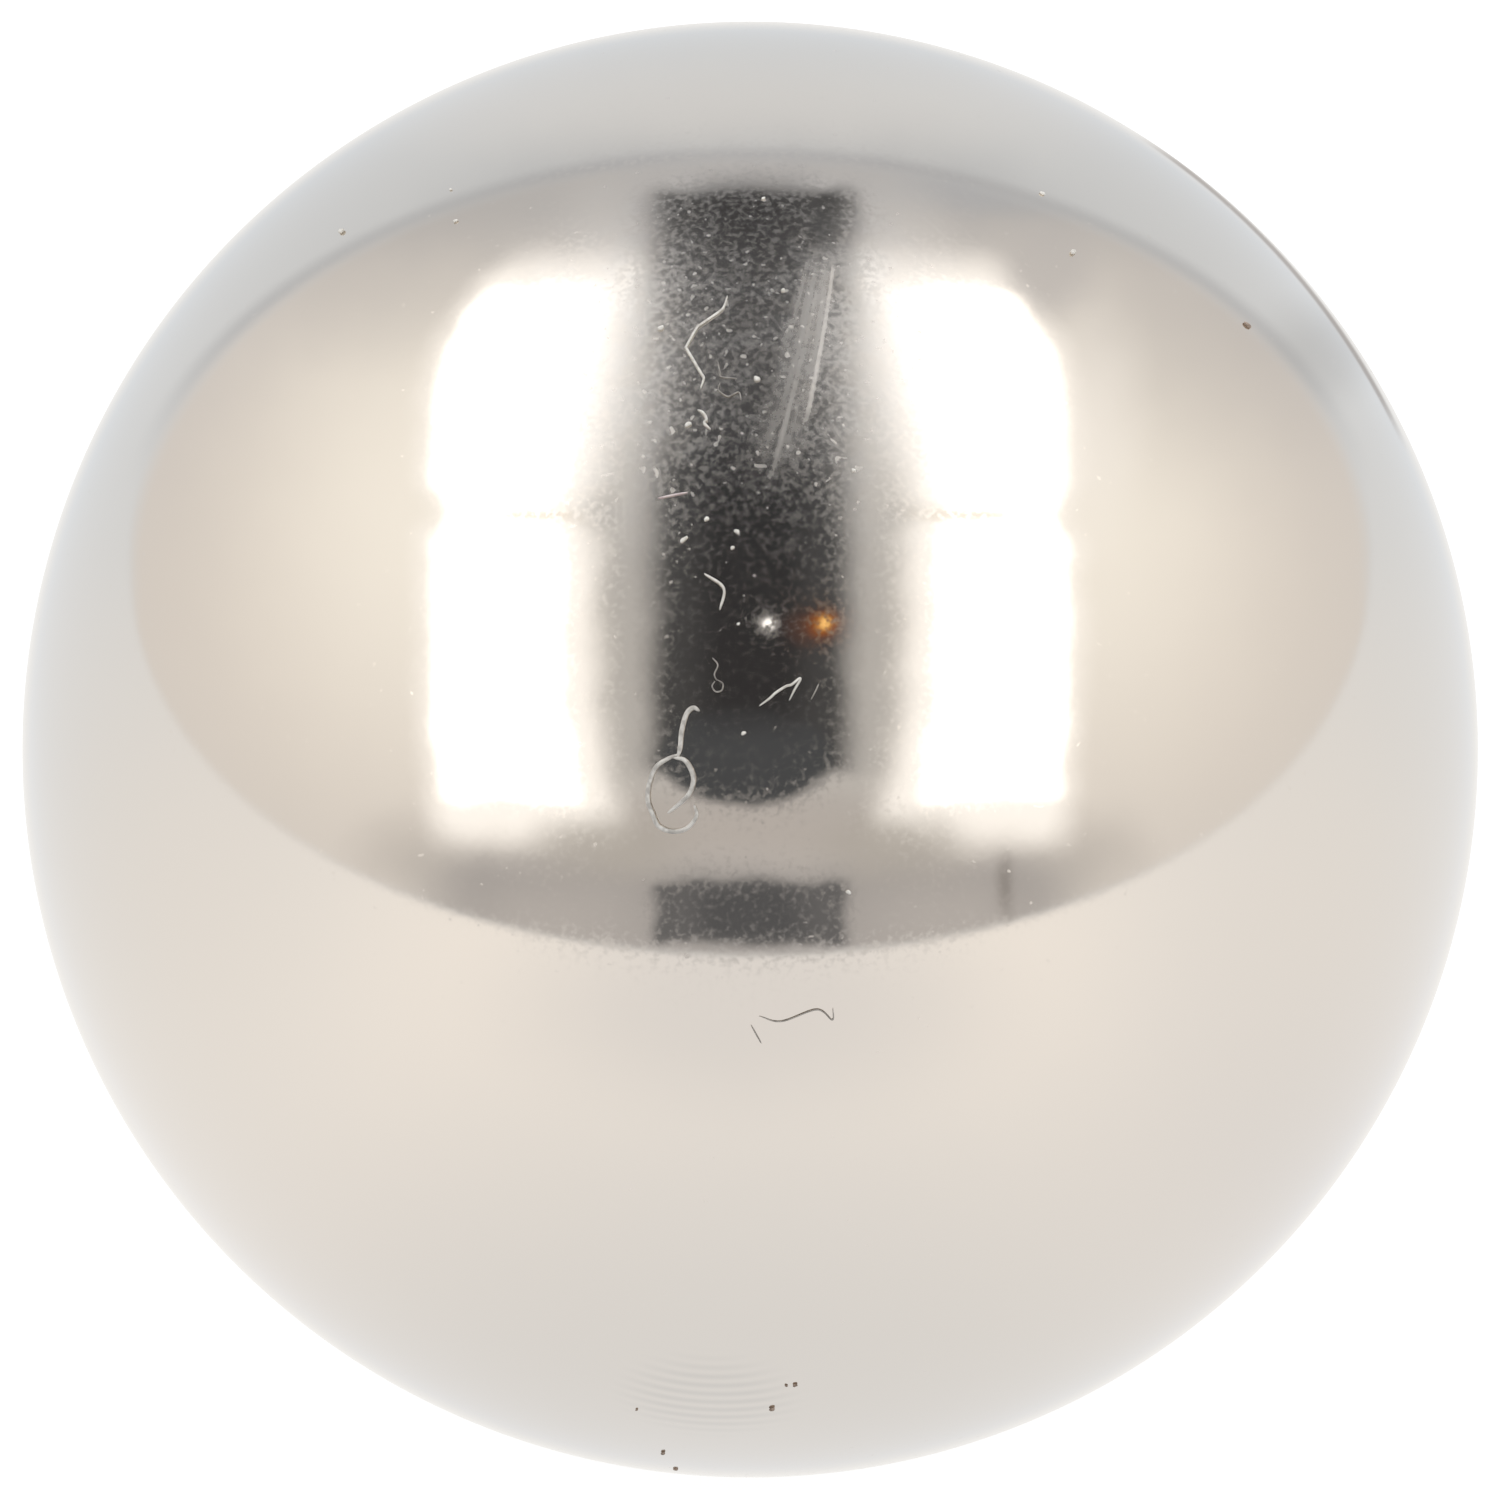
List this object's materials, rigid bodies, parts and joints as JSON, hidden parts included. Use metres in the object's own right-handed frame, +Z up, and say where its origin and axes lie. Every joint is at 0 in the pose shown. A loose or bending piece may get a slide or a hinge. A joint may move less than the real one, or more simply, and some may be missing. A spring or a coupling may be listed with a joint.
{
  "type": "sphere magnet",
  "caption": "Solid mirror-bright ball magnet: a true sphere with no hole, flat or seam, which clings to steel and to other magnets.",
  "frame": {"origin": "centre of the ball", "axes": "+Z up, with the pole that the ball is held by on -Z; the front with the scratches and lint faces -Y"},
  "size_m": [0.03, 0.03, 0.03],
  "materials": {
    "nickel_plate": "bright nickel plating, tumble polished to a mirror, with fine pits, hairline scratches and a little lint"
  },
  "bodies": {
    "root": {"magnet_ball": "nickel_plate"}
  },
  "joints": []
}
